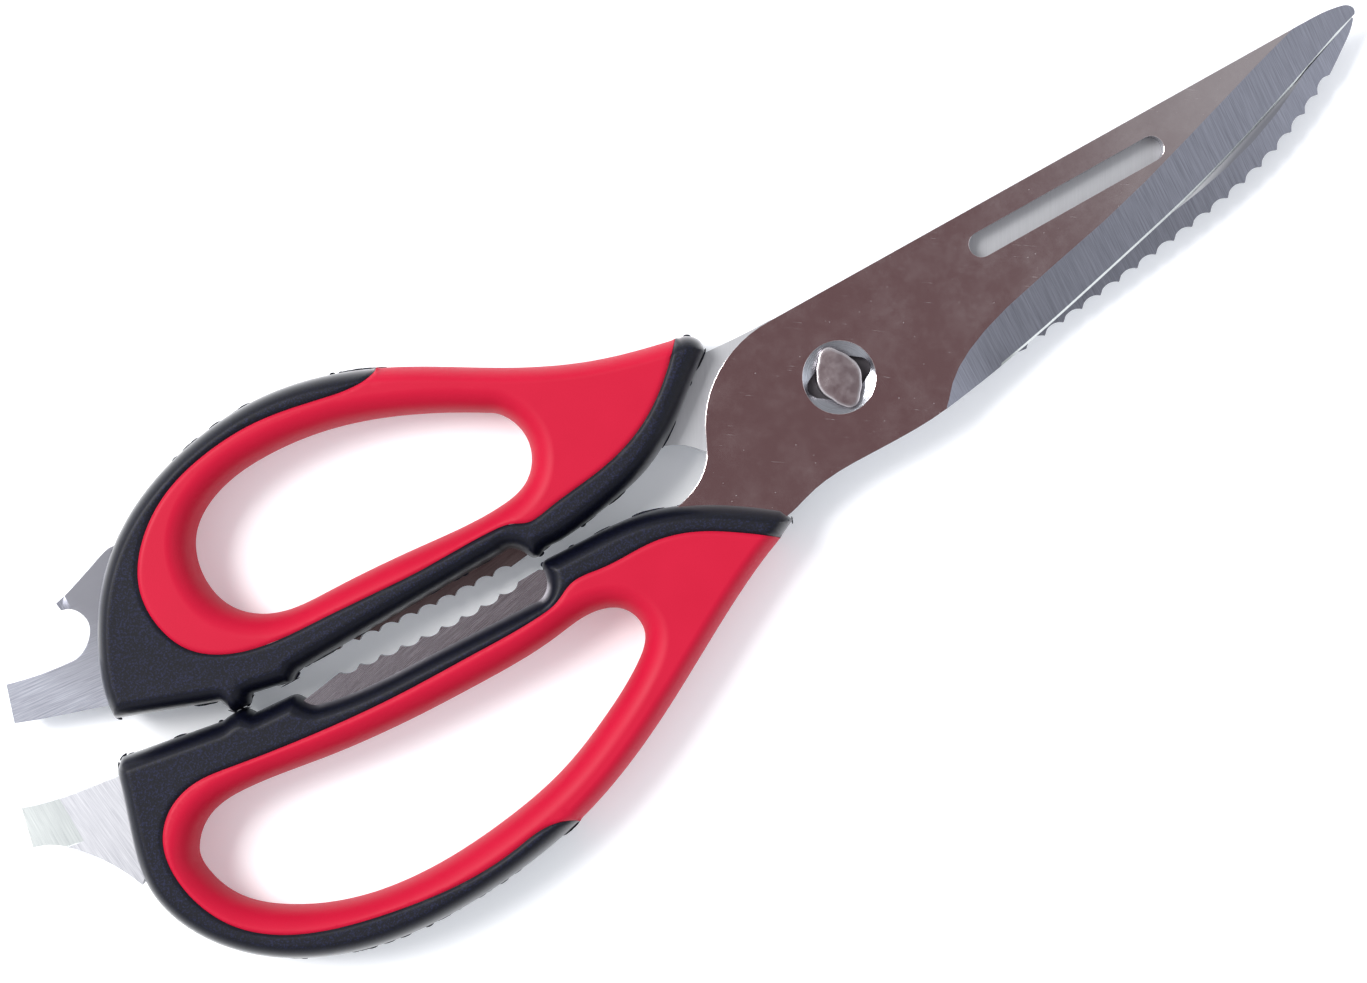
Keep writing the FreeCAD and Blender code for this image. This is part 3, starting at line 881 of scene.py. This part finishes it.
def front_blade_form():
    """The front blade with its seat dished, its edges broken and a finish on every face."""
    low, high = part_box("front_blade")
    shape = joined_copy("front_blade")
    for vertex in shape.verts:
        reach = (vertex.co.xy - pivot.xy).length / MM
        within_metal = low.z + 0.5 * MM < vertex.co.z < high.z - 0.5 * MM
        if abs(reach - seat_radius) < seat_rim_width and within_metal:
            vertex.co.z += seat_dish
    shape.normal_update()
    cut_across(shape, tang_starts, lifter_starts)
    in_seat = {f for f in shape.faces
               if f.normal.z > 0.5
               and (f.calc_center_median().xy - pivot.xy).length < seat_zone * MM
               and f.calc_center_median().z < high.z - 0.4 * MM}
    for face in shape.faces:
        middle = face.calc_center_median()
        if face in in_seat:
            face.material_index = 3
        elif is_ground(face) and middle.x > 0:
            face.material_index = 1
        elif is_ground(face):
            face.material_index = 2
        elif middle.x < lifter_starts * MM:
            face.material_index = 4
        elif middle.x < tang_starts * MM or face.normal.z < flat_limit:
            face.material_index = 5
        else:
            face.material_index = 0
    flats_joined(shape)
    cutting = [e for e in edges_between(shape, is_ground, is_wall)
               if max(v.co.z for v in e.verts) < low.z + 0.7 * MM and e.verts[0].co.x > 0]
    broken(shape, cutting, honing, 1, 2)
    rims = [e for e in edges_between(shape, is_flat, is_wall) if clear_of_teeth(e, high.z)]
    broken(shape, rims, rim_break, 2, -1)
    return shape


steel_piece("front_blade_form", front_blade_form(),
            (polished, ground, honed, turned, pale_satin, tang_satin_and_shade),
            "front_half", "front_blade")


# ---- Rear blade: the same steel with a satin finish, under the front blade. Its back is
# ground to a bevel and toothed as a fish scaler, and its tang ends in a hooked bottle opener
# and screwdriver tip.
opener_starts, jaw_ends = -78.0, -22.0
hook_bend, hook_above, hook_slope = -95.05, 26.5, 0.32
# Painted shade: the rear blade's satin is painted dark within about 6.6 mm of the pivot, where it
# shows down through the front blade's keyhole.
shade_by_stud = ((pivot.x / MM, pivot.y / MM), 6.6, 0.8, (0.085, 0.080, 0.088))
# Painted shade: towards the tip, the rear blade's satin that shows beside the front blade's
# cutting edge is painted darker.
shade_by_front_edge = ((136.0, -110.7), 121.3, 1.5, (0.19, 0.195, 0.22))
# The opener's steel is painted darker round the hook.
darker_round_hook = ((-88.0, 30.0), 20.0, 14.0, (0.195, 0.20, 0.225))
satin = brushed_steel("satin_steel", 62.0, (0.45, 0.46, 0.48), (0.51, 0.52, 0.54),
                      0.52, 0.012, (shade_by_stud, shade_by_front_edge))
# Painted shade and painted reflection: the polished steel of the rear blade's jaws is painted dark
# and brownish, for the shade under the handle and the brown ceiling it mirrors.
jaw_polish_and_shade = brushed_steel("jaw_steel_painted_shade", 8.0, (0.12, 0.10, 0.10), (0.22, 0.19, 0.19),
                           0.22, 0.01)
opener_satin = brushed_steel("opener_steel", -6.0, (0.21, 0.22, 0.26), (0.44, 0.46, 0.52),
                             0.36, 0.02, (darker_round_hook,))


def rear_blade_form():
    """The rear blade with its hook's lip bent down and a finish on every face."""
    low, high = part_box("rear_blade")
    shape = joined_copy("rear_blade")
    cut_across(shape, opener_starts, jaw_ends, hook_bend)
    for vertex in shape.verts:
        beyond = hook_bend * MM - vertex.co.x
        if beyond > 0 and vertex.co.y > hook_above * MM and vertex.co.z > low.z + 1.0 * MM:
            vertex.co.z -= beyond * hook_slope
    shape.normal_update()
    for face in shape.faces:
        middle = face.calc_center_median()
        if is_ground(face):
            face.material_index = 1
        elif middle.x < opener_starts * MM:
            face.material_index = 3
        elif middle.x < jaw_ends * MM:
            face.material_index = 2
        else:
            face.material_index = 0
    flats_joined(shape)
    rims = [e for e in edges_between(shape, is_flat, is_wall) if clear_of_teeth(e, high.z)]
    broken(shape, rims, rim_break, 2, -1)
    return shape


steel_piece("rear_blade_form", rear_blade_form(), (satin, ground, jaw_polish_and_shade, opener_satin),
            "rear_half", "rear_blade")


# ---- Pivot stud: a turned steel stud, riveted into the rear blade from below. Its lobed
# head passes the front blade's keyhole when the shears are opened wide, so the two halves
# lift apart for washing.
stud_steps = 96
shank, shank_top = 3.4, 1.15
head_profile = ((1.0, -0.95), (1.0, -0.24), (0.992, -0.15), (0.972, -0.09), (0.945, -0.06),
                (0.86, -0.045), (0.70, -0.03), (0.50, -0.015), (0.28, -0.005), (0.12, 0.0))
rivet_profile = ((5.35, 0.0), (5.58, -0.08), (5.6, -0.3), (5.5, -0.62), (5.2, -0.86),
                 (4.7, -1.0), (3.9, -1.07), (2.4, -1.1), (0.9, -1.1))


def stud_steel():
    """Bright steel with the shallow dents of riveting."""
    finish, tree, shader = new_finish("stud_steel")
    place = object_mm(tree)
    dents = add(tree, "ShaderNodeTexNoise", None, {"Vector": place, "Scale": 0.42, "Detail": 2.5,
                                                   "Roughness": 0.5})
    pits = add(tree, "ShaderNodeTexNoise", None, {"Vector": place, "Scale": 4.5, "Detail": 2.0})
    tone = blend_colours(tree, ((dents - 0.35) * 3.0).clamped(), (0.44, 0.40, 0.42),
                         (0.64, 0.60, 0.62))
    plug(tree, shader.inputs["Base Color"], tone)
    plug(tree, shader.inputs["Roughness"], 0.16 + 0.2 * dents)
    relief = add(tree, "ShaderNodeBump", None, {"Strength": 0.22, "Distance": 0.06 * MM,
                                                "Height": dents * 0.9 + pits * 0.1})
    plug(tree, shader.inputs["Normal"], relief)
    shader.inputs["Metallic"].default_value = 1.0
    return finish


def stud_form():
    """The stud from its rivet head up to its lobed head, as rings of points."""
    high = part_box("pivot_stud")[1]
    joint_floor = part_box("rear_blade")[0].z
    outline = section("pivot_stud", high.z - 0.5 * MM)[0] - np.array(pivot.xy) / MM
    around = np.arange(stud_steps) * 2 * pi / stud_steps
    bearing = np.arctan2(outline[:, 1], outline[:, 0])
    order = np.argsort(bearing)
    spread = np.interp(around, bearing[order] % (2 * pi), np.hypot(*outline[order].T),
                       period=2 * pi)
    rows = [(reach * np.ones(stud_steps), joint_floor / MM + drop)
            for reach, drop in reversed(rivet_profile)]
    rows.append((shank * np.ones(stud_steps), joint_floor / MM))
    rows.append((shank * np.ones(stud_steps), high.z / MM - shank_top))
    rows += [(share * spread, high.z / MM + drop) for share, drop in head_profile]
    points = [(pivot.x / MM + reach[i] * np.cos(around[i]),
               pivot.y / MM + reach[i] * np.sin(around[i]), z)
              for reach, z in rows for i in range(stud_steps)]
    faces = []
    for row in range(len(rows) - 1):
        for i in range(stud_steps):
            j = (i + 1) % stud_steps
            a, b = row * stud_steps, (row + 1) * stud_steps
            faces.append((a + i, a + j, b + j, b + i))
    faces.append(tuple(reversed(range(stud_steps))))
    faces.append(tuple(range((len(rows) - 1) * stud_steps, len(rows) * stud_steps)))
    shape = bmesh.new()
    made = [shape.verts.new((x * MM, y * MM, z * MM)) for x, y, z in points]
    for face in faces:
        shape.faces.new([made[i] for i in face])
    shape.normal_update()
    return shape


steel_piece("pivot_stud_form", stud_form(), (stud_steel(),), "rear_half", "pivot_stud",
            edge_angle=40)
